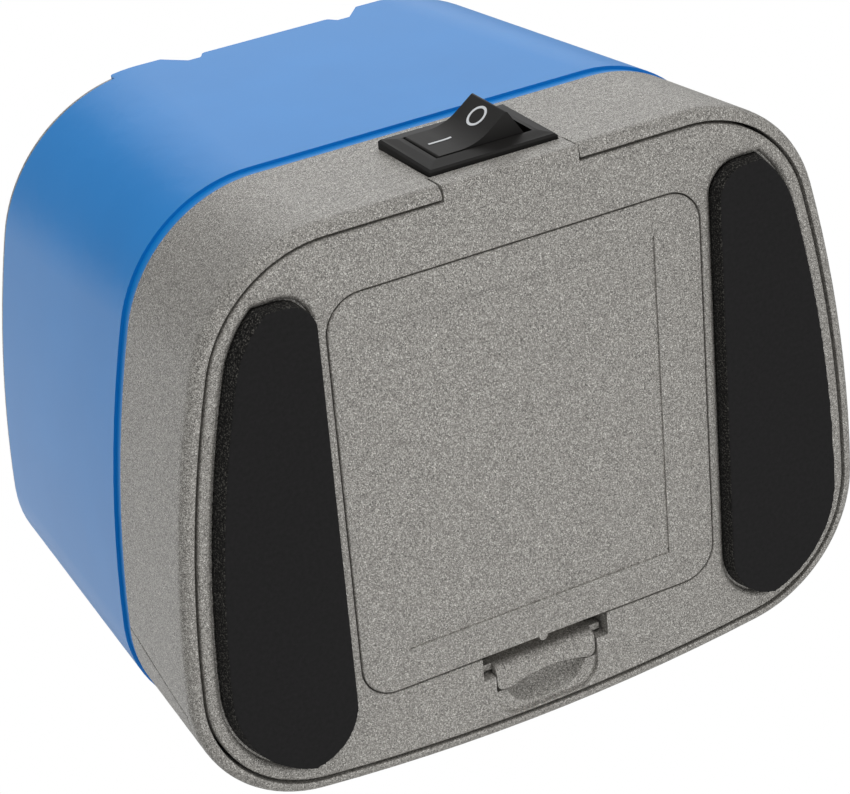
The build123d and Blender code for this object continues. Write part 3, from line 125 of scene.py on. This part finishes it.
def part_along(tree, vector, axis):
    """One of the three parts of a vector, by the name of its axis."""
    parts = tree.nodes.new("ShaderNodeSeparateXYZ")
    tree.links.new(vector, parts.inputs["Vector"])
    return parts.outputs[axis]


def noise(tree, scale, detail=2.0, roughness=0.5):
    texture = tree.nodes.new("ShaderNodeTexNoise")
    texture.inputs["Scale"].default_value = scale
    texture.inputs["Detail"].default_value = detail
    texture.inputs["Roughness"].default_value = roughness
    tree.links.new(place_on(tree), texture.inputs["Vector"])
    return texture.outputs["Fac"]


def colour_steps(tree, source, steps):
    """A colour ramp: steps are pairs of a position and a colour."""
    ramp = tree.nodes.new("ShaderNodeValToRGB")
    first, last = ramp.color_ramp.elements
    first.position, first.color = steps[0]
    last.position, last.color = steps[-1]
    for position, colour in steps[1:-1]:
        ramp.color_ramp.elements.new(position).color = colour
    tree.links.new(source, ramp.inputs["Fac"])
    return ramp.outputs["Color"]


def two_shades(tree, source, low, high):
    """Noise lies mostly between 0.3 and 0.7, so the two shades sit there."""
    return colour_steps(tree, source, [(0.3, low), (0.7, high)])


def blend_colours(tree, share, first, second):
    blend = tree.nodes.new("ShaderNodeMix")
    blend.data_type = "RGBA"
    tree.links.new(share, blend.inputs["Factor"])
    tree.links.new(first, blend.inputs["A"])
    tree.links.new(second, blend.inputs["B"])
    return blend.outputs["Result"]


def add_bump(tree, shader, height, strength, depth):
    bump = tree.nodes.new("ShaderNodeBump")
    bump.inputs["Strength"].default_value = strength
    bump.inputs["Distance"].default_value = depth
    tree.links.new(height, bump.inputs["Height"])
    tree.links.new(bump.outputs["Normal"], shader.inputs["Normal"])


# %% [markdown]
# ## Blue plastic
# The upper shell is moulded in satin blue plastic. One flat colour would do from afar, but
# a moulding is never quite even: its colour drifts where the plastic flowed, and a fine
# grain breaks up its sheen. Two noises give both. The roughness is chosen so that the
# lamps leave a wide faint glow, not their mirror image.

# %% Make the blue plastic
finishes = {}
flow_scale = 45.0
grain_depth = 0.05 * mm


def blue_plastic():
    material, tree, shader = new_material("blue_plastic", roughness=0.4, specular=0.3)
    flow = noise(tree, flow_scale, detail=3.0)
    shades = two_shades(tree, flow, srgb(12, 132, 212), srgb(20, 137, 218))
    tree.links.new(shades, shader.inputs["Base Color"])
    grain = noise(tree, scale=2600.0, detail=1.0)
    add_bump(tree, shader, grain, strength=0.12, depth=grain_depth)
    return material


finishes["blue_plastic"] = blue_plastic()
print("made:", finishes["blue_plastic"].name)

# %% [markdown]
# ## Silver plastic
# The collar, the base and the cover are grey plastic with fine metal flakes mixed in. A
# glossy coat over a noise would sparkle too, but each real flake has its own shade and its
# own tilt. A Voronoi pattern has one random value for each of its cells, so it gives both:
# the value picks the flake's shade on a ramp, and drives a small bump that tilts the flake.

# %% Make the silver plastic
flake_scale = 8600.0
flake_depth = 0.08 * mm
flake_shades = [(0.1, srgb(72, 70, 67)), (0.4, srgb(136, 133, 128)),
                (0.7, srgb(167, 164, 158)), (0.92, srgb(230, 228, 222))]


def silver_plastic():
    material, tree, shader = new_material("silver_plastic", roughness=0.45, metallic=0.1,
                                          specular=0.35)
    flake = tree.nodes.new("ShaderNodeTexVoronoi")
    flake.inputs["Scale"].default_value = flake_scale
    tree.links.new(place_on(tree), flake.inputs["Vector"])
    shades = colour_steps(tree, flake.outputs["Color"], flake_shades)
    tree.links.new(shades, shader.inputs["Base Color"])
    add_bump(tree, shader, flake.outputs["Color"], strength=0.35, depth=flake_depth)
    return material


finishes["silver_plastic"] = silver_plastic()
print("flake size:", round(1 / flake_scale / mm, 2), "mm")

# %% [markdown]
# ## Plain plastics
# The switch, the gears, the frame, the leads, the abrasive wheels and the white print
# differ only in shade, gloss and grain. So one function makes them all: a soft cloud of
# two close shades, and a fine grain whose strength is given.

# %% Make the plain plastics
cloud_scale = 160.0


def plain_plastic(name, low, high, roughness=0.4, bump=0.1, specular=0.4):
    material, tree, shader = new_material(name, roughness=roughness, specular=specular)
    shades = two_shades(tree, noise(tree, cloud_scale, detail=3.0), low, high)
    tree.links.new(shades, shader.inputs["Base Color"])
    grain = noise(tree, scale=2400.0, detail=1.0)
    add_bump(tree, shader, grain, strength=bump, depth=grain_depth)
    return material


plastics = {                           # two shades, then roughness, grain and gloss
    "black_plastic": (srgb(26, 25, 24), srgb(33, 32, 31), 0.55, 0.1, 0.22),
    "magnet": (srgb(44, 44, 46), srgb(54, 54, 56), 0.6),
    "gear_plastic": (srgb(232, 229, 218), srgb(240, 238, 230), 0.45),
    "frame_plastic": (srgb(40, 40, 42), srgb(50, 50, 52), 0.5),
    "abrasive": (srgb(205, 198, 188), srgb(232, 226, 216), 0.85, 0.8),
    "lead_red": (srgb(176, 30, 24), srgb(190, 36, 30), 0.35),
    "lead_black": (srgb(28, 28, 28), srgb(36, 36, 36), 0.35),
    "white_print": (srgb(214, 217, 220), srgb(226, 229, 232), 0.6),
}
for name, recipe in plastics.items():
    finishes[name] = plain_plastic(name, *recipe)
print("plain plastics:", len(plastics))

# %% [markdown]
# ## Bare metals
# Shafts, screws, springs and contacts are bare metal, so their shader is fully metallic
# and its colour is the colour of what they reflect. A fine noise stands for the marks of
# drawing and turning: it varies the shade and roughens the surface a little.

# %% Make the metals
metal_streaks = 900.0
metal_depth = 0.03 * mm


def bare_metal(name, low, high, roughness=0.32):
    material, tree, shader = new_material(name, roughness=roughness, metallic=1.0)
    streak = noise(tree, metal_streaks, detail=3.0)
    tree.links.new(two_shades(tree, streak, low, high), shader.inputs["Base Color"])
    add_bump(tree, shader, streak, strength=0.1, depth=metal_depth)
    return material


metals = {                             # two shades, then roughness
    "brass": (srgb(200, 160, 80), srgb(220, 180, 100)),
    "spring_steel": (srgb(180, 180, 180), srgb(205, 205, 203)),
    "bare_steel": (srgb(170, 170, 170), srgb(200, 200, 198)),
    "motor_iron": (srgb(120, 118, 116), srgb(150, 148, 146), 0.45),
}
for name, recipe in metals.items():
    finishes[name] = bare_metal(name, *recipe)
print("metals:", len(metals))

# %% [markdown]
# ## Battery cells
# A cell is a steel can in a thin dark sleeve, which leaves the steel bare at both ends.
# The sleeve could be a piece of its own, but it is only a tenth of a millimetre thick, so
# the finish alone tells the two apart. It compares the place along the cell with the
# cell's middle: farther out than the sleeve reaches, the same surface is bare metal.

# %% Make the cells' finish
cell_bare_end = 1.6 * mm


def cell_sleeve():
    material, tree, shader = new_material("cell_wrapper", roughness=0.3)
    low, high = [corner[1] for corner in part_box("battery_cell_1")]
    sleeved = tree.nodes.new("ShaderNodeMath")
    sleeved.operation = "COMPARE"
    sleeved.inputs[1].default_value = (low + high) / 2
    sleeved.inputs[2].default_value = (high - low) / 2 - cell_bare_end
    tree.links.new(part_along(tree, place_on(tree), "Y"), sleeved.inputs[0])
    bare = tree.nodes.new("ShaderNodeMath")
    bare.operation = "SUBTRACT"
    bare.inputs[0].default_value = 1.0
    tree.links.new(sleeved.outputs["Value"], bare.inputs[1])
    cloud = noise(tree, cloud_scale, detail=3.0)
    sleeve = two_shades(tree, cloud, srgb(40, 46, 54), srgb(48, 54, 62))
    steel = tree.nodes.new("ShaderNodeRGB").outputs["Color"]
    steel.default_value = srgb(190, 190, 188)
    blend = blend_colours(tree, bare.outputs["Value"], sleeve, steel)
    tree.links.new(blend, shader.inputs["Base Color"])
    tree.links.new(bare.outputs["Value"], shader.inputs["Metallic"])
    return material


finishes["cell_jacket"] = cell_sleeve()
print("bare at each end of a cell:", round(cell_bare_end / mm, 1), "mm")

# %% [markdown]
# ## Foam
# The feet are cut from a sheet of black foam. The sheet's skin is even and fine, but the
# cut sides show open cells with pale rims. Both belong to one piece, so the material looks
# at the way the surface faces: where its normal is nearly upright it is skin, and where
# the normal lies flat it is open cells, with a soft change between them.

# %% Make the foam
cell_depth = 0.1 * mm
side_below, skin_above = 0.5, 0.9      # how upright the normal is, from 0 to 1
cell_shades = [(0.42, srgb(16, 16, 16)), (0.54, srgb(40, 39, 38)), (0.68, srgb(112, 110, 105))]


def foam_rubber():
    material, tree, shader = new_material("foam", roughness=0.9, specular=0.2)
    skin_noise = noise(tree, scale=1500.0, detail=3.0, roughness=0.6)
    skin = two_shades(tree, skin_noise, srgb(28, 28, 28), srgb(34, 33, 34))
    cells = noise(tree, scale=3600.0, detail=4.0, roughness=0.7)
    side = colour_steps(tree, cells, cell_shades)
    facing = tree.nodes.new("ShaderNodeNewGeometry")
    upright = tree.nodes.new("ShaderNodeMath")
    upright.operation = "ABSOLUTE"
    tree.links.new(part_along(tree, facing.outputs["Normal"], "Z"), upright.inputs[0])
    share = tree.nodes.new("ShaderNodeMapRange")
    share.inputs["From Min"].default_value = side_below
    share.inputs["From Max"].default_value = skin_above
    tree.links.new(upright.outputs["Value"], share.inputs["Value"])
    blend = blend_colours(tree, share.outputs["Result"], side, skin)
    tree.links.new(blend, shader.inputs["Base Color"])
    add_bump(tree, shader, cells, strength=0.25, depth=cell_depth)
    return material


finishes["foam"] = foam_rubber()
print("finishes:", len(finishes))

# %% [markdown]
# ## Every node gets its finish
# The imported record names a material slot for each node, and the finishes above carry the
# same names. So one loop dresses the whole model, with the hidden pieces inside it too.

# %% Paint the nodes
slot_of = {part["node"]: part["material_slot"] for part in frame["record"]["subparts"]}
body_of_node = {name: body for body, members in frame["record"]["behaviour"]["bodies"].items()
                for name in members}


def paint(thing, finish):
    thing.data.materials.clear()
    thing.data.materials.append(finishes[finish])


for name, node in nodes.items():
    paint(node, slot_of[name])
print("nodes painted:", len(nodes))

# %% [markdown]
# ## Copies that can be worked on
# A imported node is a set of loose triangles, and it stays as it is. A copy whose equal
# corners are merged is one connected mesh, which modifiers can bevel, and it then stands
# for the node, with the node's finish and body.

# %% Copy a node, change it, let it stand for the node
merge_distance = 0.002 * mm


def deselect_all():
    for thing in bpy.context.selected_objects:
        thing.select_set(False)


def select_only(piece):
    deselect_all()
    piece.select_set(True)
    bpy.context.view_layer.objects.active = piece


def merged_copy(name, ending):
    """A copy of a node as one connected mesh, selected and active."""
    piece = nodes[name].copy()
    piece.data = nodes[name].data.copy()
    for key in list(piece.keys()):
        del piece[key]
    piece.parent = None
    piece.name = name + ending
    bpy.context.scene.collection.objects.link(piece)
    select_only(piece)
    bpy.ops.object.mode_set(mode="EDIT")
    bpy.ops.mesh.select_all(action="SELECT")
    bpy.ops.mesh.remove_doubles(threshold=merge_distance)
    bpy.ops.object.mode_set(mode="OBJECT")
    return piece


def apply_modifier(piece, name, kind, **settings):
    """Add a modifier to the active piece with its settings, and apply it to the mesh."""
    modifier = piece.modifiers.new(name, kind)
    for setting, value in settings.items():
        setattr(modifier, setting, value)
    bpy.ops.object.modifier_apply(modifier=name)


def stand_for(piece, name):
    """The piece takes a node's place, with its finish and its body."""
    paint(piece, slot_of[name])
    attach(piece, body_of_node[name])
    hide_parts(name)
    print(piece.name, "faces:", len(piece.data.polygons))


# %% [markdown]
# All moulded pieces that can be seen from outside are copied at once, because the next two
# steps both work on them. Each has the width of its soft edges, in millimetres: a large
# cover is rounded more than a small switch.

# %% Copy the moulded pieces
edge_widths = {"lower_collar": 0.2, "front_fascia": 0.15, "upper_housing": 0.15, "top_cover": 0.2,
               "base_plate": 0.16, "battery_cover": 0.14, "battery_latch": 0.12, "switch_body": 0.1,
               "switch_rocker": 0.18}
shells = {name: merged_copy(name, "_moulded") for name in edge_widths}
print("moulded pieces:", len(shells))

# %% [markdown]
# ## The seam band
# Between the collar and the blue shell runs a narrow recessed band, so that a small
# mismatch of the two mouldings doesn't show. On the shell's copy its wall is brought out
# a little, so that the step above it throws a thin shadow and not a deep one. The wall's
# faces could be picked by hand. Here they are selected by their height and by the way they
# look, and are then scaled outwards about the middle of the shell.

# %% Bring the band's wall forward
band_height = 2.0 * mm
band_rise = 0.3 * mm
wall_lean = 0.3                        # a wall's normal rises or falls by less than this


def raise_band(piece):
    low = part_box("lower_collar")[1][2]
    wall = []
    for face in piece.data.polygons:
        outward = face.normal.x * face.center.x + face.normal.y * face.center.y > 0
        inside_band = low < face.center.z < low + band_height
        face.select = inside_band and outward and abs(face.normal.z) < wall_lean
        if face.select:
            wall += [piece.data.vertices[index].co for index in face.vertices]
    half_x = max(corner.x for corner in wall)
    front, rear = min(corner.y for corner in wall), max(corner.y for corner in wall)
    select_only(piece)
    bpy.ops.object.mode_set(mode="EDIT")
    bpy.ops.mesh.select_mode(type="FACE")
    bpy.ops.transform.resize(value=(1 + band_rise / half_x, 1 + 2 * band_rise / (rear - front), 1),
                             center_override=(0.0, (front + rear) / 2, low))
    bpy.ops.object.mode_set(mode="OBJECT")
    print("band wall, from front to rear:", round((rear - front) / mm, 1), "mm")


raise_band(shells["upper_housing"])

# %% [markdown]
# ## Soft edges
# A mould never leaves a knife-sharp edge, and a small bevel gives the thin bright lines
# that a real moulding shows. A subdivision surface would soften the edges too, but would
# swell the flat faces, so a Bevel modifier works on the sharp edges alone. Weighted
# normals then keep the large faces flat, so that only the bevel catches the light.

# %% Bevel the shells
sharp_angle = radians(30)
edge_segments = 2
area_weight = 100                      # the largest weight: large faces decide the shading

for name, piece in shells.items():
    select_only(piece)
    apply_modifier(piece, "soft_edges", "BEVEL", width=edge_widths[name] * mm,
                   segments=edge_segments, limit_method="ANGLE", angle_limit=sharp_angle,
                   use_clamp_overlap=True)
    bpy.ops.object.shade_smooth_by_angle(angle=sharp_angle)
    apply_modifier(piece, "flat_faces", "WEIGHTED_NORMAL", keep_sharp=True, weight=area_weight)
    stand_for(piece, name)

# %% [markdown]
# ## Foam pads
# Each foot pad is cut from the foam sheet and glued into a shallow recess. The plain
# solid has the right outline, but foam has no sharp corners and its cut sides are uneven.
# So a copy of the solid is rebuilt from small cubes, which rounds its edges, a few
# smoothing passes relax it, and a fine cloud pattern pushes its surface in and out by a
# few hundredths of a millimetre. A cloth simulation would only blow it up: this foam is
# stiff and thin, and lies flat.

# %% Rebuild the pads in small cubes
foam_cube = 0.28 * mm
foam_unevenness = 0.025 * mm
foam_level = 0.6                       # a little over half, so that the pad mostly shrinks
foam_smoothing = 2
foam_clouds = bpy.data.textures.new("foam_clouds", "CLOUDS")
foam_clouds.noise_scale = 0.7 * mm

for name in ("foot_pad_left", "foot_pad_right"):
    pad = merged_copy(name, "_foam")
    apply_modifier(pad, "small_cubes", "REMESH", mode="VOXEL", voxel_size=foam_cube)
    apply_modifier(pad, "relax", "SMOOTH", factor=0.5, iterations=foam_smoothing)
    apply_modifier(pad, "uneven", "DISPLACE", texture=foam_clouds, texture_coords="LOCAL",
                   strength=foam_unevenness, mid_level=foam_level)
    bpy.ops.object.shade_smooth()
    stand_for(pad, name)

# %% [markdown]
# ## The marks on the rocker
# The rocker carries two generic marks printed in white, a short bar for on and a ring for
# off. They could be painted by the material, but thin pieces keep a crisp outline. Each is
# made flat in front of the rocker, cut fine enough to bend, dropped onto the rocker's
# hollow face with Shrinkwrap, and given the thickness of a coat of paint with Solidify.

# %% Drop a flat mark onto the rocker
print_thickness = 0.04 * mm
print_lift = 0.03 * mm


def print_mark(piece, name):
    """Drop a flat mark onto the rocker along -Y, and give it a coat's thickness."""
    piece.name = name
    bpy.ops.object.transform_apply(location=True, rotation=True, scale=True)
    apply_modifier(piece, "drop", "SHRINKWRAP", target=shells["switch_rocker"],
                   wrap_method="PROJECT", use_project_y=True, use_negative_direction=True,
                   use_positive_direction=False, offset=print_lift)
    apply_modifier(piece, "coat", "SOLIDIFY", thickness=print_thickness, offset=0.0)
    bpy.ops.object.mode_set(mode="EDIT")
    bpy.ops.mesh.select_all(action="SELECT")
    bpy.ops.mesh.normals_make_consistent(inside=False)
    bpy.ops.object.mode_set(mode="OBJECT")
    paint(piece, "white_print")
    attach(piece, body_of_node["switch_rocker"])
    depths = [corner.co.y / mm for corner in piece.data.vertices]
    print(name, "lies from y", round(min(depths), 2), "to", round(max(depths), 2), "mm")


# %% [markdown]
# The bar starts as a plane that faces the rocker and is scaled to a thin strip. Cuts all
# over it let it follow the hollow face.

# %% Print the bar
rocker_low, rocker_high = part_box("switch_rocker")
print_clearance = 2.0 * mm
mark_y = rocker_high[1] + print_clearance
mark_z = (rocker_low[2] + rocker_high[2]) / 2
facing_rocker = (radians(-90), 0, 0)
bar_middle_x = 4.5 * mm
bar_length = 3.7 * mm
bar_width = 0.42 * mm
bar_cuts = 11

deselect_all()
bpy.ops.mesh.primitive_plane_add(size=1.0, location=(bar_middle_x, mark_y, mark_z),
                                 rotation=facing_rocker)
bar = bpy.context.object
bar.scale = (bar_length, bar_width, 1.0)
bpy.ops.object.mode_set(mode="EDIT")
bpy.ops.mesh.subdivide(number_cuts=bar_cuts)
bpy.ops.object.mode_set(mode="OBJECT")
print_mark(bar, "mark_on")

# %% [markdown]
# The ring starts as a circle of points. Its edge is extruded and the new edge is drawn
# inwards, which leaves a flat washer. The hollow face is steep there, so the washer is
# squeezed a little along X, and comes out round on the slope.

# %% Print the ring
ring_middle_x = -1.75 * mm
ring_radius = 1.75 * mm
ring_width = 0.42 * mm
ring_points = 64
ring_squeeze = 0.82
inner_share = (ring_radius - ring_width) / ring_radius

deselect_all()
bpy.ops.mesh.primitive_circle_add(vertices=ring_points, radius=ring_radius, fill_type="NOTHING",
                                  location=(ring_middle_x, mark_y, mark_z),
                                  rotation=facing_rocker)
ring = bpy.context.object
bpy.ops.object.mode_set(mode="EDIT")
bpy.ops.mesh.select_all(action="SELECT")
bpy.ops.mesh.extrude_edges_move()
bpy.ops.transform.resize(value=(inner_share, inner_share, inner_share))
bpy.ops.mesh.select_all(action="SELECT")
bpy.ops.transform.resize(value=(ring_squeeze, 1.0, 1.0))
bpy.ops.mesh.subdivide(number_cuts=1)
bpy.ops.object.mode_set(mode="OBJECT")
print_mark(ring, "mark_off")

# %% [markdown]
# ## The ground
# The ground is a large pale plane. From above it catches a soft shade under the feet. The
# camera looks up from below it, so its back has to let the camera through: the material is
# clear wherever a ray meets the plane's back. It takes no part in lighting the sharpener.


# %% Lay the ground
def ground_material(grey):
    material, tree, shader = new_material("ground", roughness=0.9, specular=0.2)
    shader.inputs["Base Color"].default_value = (grey, grey, grey, 1.0)
    side = tree.nodes.new("ShaderNodeNewGeometry")
    clear = tree.nodes.new("ShaderNodeBsdfTransparent")
    choice = tree.nodes.new("ShaderNodeMixShader")
    tree.links.new(side.outputs["Backfacing"], choice.inputs["Fac"])
    tree.links.new(shader.outputs["BSDF"], choice.inputs[1])
    tree.links.new(clear.outputs["BSDF"], choice.inputs[2])
    tree.links.new(choice.outputs["Shader"], tree.nodes["Material Output"].inputs["Surface"])
    return material


ground_size = 6.0
ground_grey = 0.86
ground_drop = 0.1 * mm                 # just under the pads, so that no faces coincide

deselect_all()
bpy.ops.mesh.primitive_plane_add(size=ground_size, location=(0.0, 0.0, -ground_drop))
ground = bpy.context.object
ground.name = "ground"
ground.data.materials.append(ground_material(ground_grey))
ground.visible_shadow = False
ground.visible_diffuse = False
ground.visible_glossy = False
print("ground:", ground_size, "m wide")

# %% [markdown]
# ## Sky and lamps
# The camera sees a pure white sky, but as a light that would wash out every shade. So the
# world has two backgrounds: a white one for the camera's own rays, and a dimmer one that
# lights the sharpener evenly.

# %% Make the sky
sky_strength = 0.45
seen_strength = 1.0
world = bpy.data.worlds.new("sky")
bpy.context.scene.world = world
world.use_nodes = True
tree = world.node_tree
dim_sky = tree.nodes["Background"]
white_sky = tree.nodes.new("ShaderNodeBackground")
for background, strength in ((dim_sky, sky_strength), (white_sky, seen_strength)):
    background.inputs["Color"].default_value = (1.0, 1.0, 1.0, 1.0)
    background.inputs["Strength"].default_value = strength
ray = tree.nodes.new("ShaderNodeLightPath")
choice = tree.nodes.new("ShaderNodeMixShader")
tree.links.new(ray.outputs["Is Camera Ray"], choice.inputs["Fac"])
tree.links.new(dim_sky.outputs["Background"], choice.inputs[1])
tree.links.new(white_sky.outputs["Background"], choice.inputs[2])
tree.links.new(choice.outputs["Shader"], tree.nodes["World Output"].inputs["Surface"])
print("sky strength:", sky_strength)

# %% [markdown]
# Large soft lamps stand a metre away all round and look at the sharpener's middle. The two
# softboxes are above it and leave their glow on the rear wall and on the long side. The
# fills light the underside and the switch, and a small key gives the flakes some sparkle.


# %% Place the lamps
def soft_lamp(name, place, target, size, power):
    lamp = bpy.data.lights.new(name, "AREA")
    lamp.shape = "SQUARE"
    lamp.size = size
    lamp.energy = power
    thing = bpy.data.objects.new(name, lamp)
    bpy.context.scene.collection.objects.link(thing)
    thing.location = place
    thing.rotation_euler = (target - place).to_track_quat("-Z", "Y").to_euler()


middle = Vector((0.0, 0.0, 45 * mm))
lamps = {                              # direction from the middle, width in metres, watts
    "rear_softbox": ((-0.41, 0.46, 0.79), 0.8, 2.35),
    "side_softbox": ((0.41, -0.46, 0.79), 0.75, 1.6),
    "low_fill": ((-0.2, -0.3, -0.93), 0.8, 3.4),
    "switch_fill": ((0.1, 0.95, -0.3), 0.6, 3.3),
    "under_key": ((-0.45, 0.45, -0.75), 0.3, 0.25),
}
for name, (direction, size, power) in lamps.items():
    soft_lamp(name, middle + Vector(direction).normalized(), middle, size, power)
print("lamps:", len(lamps))
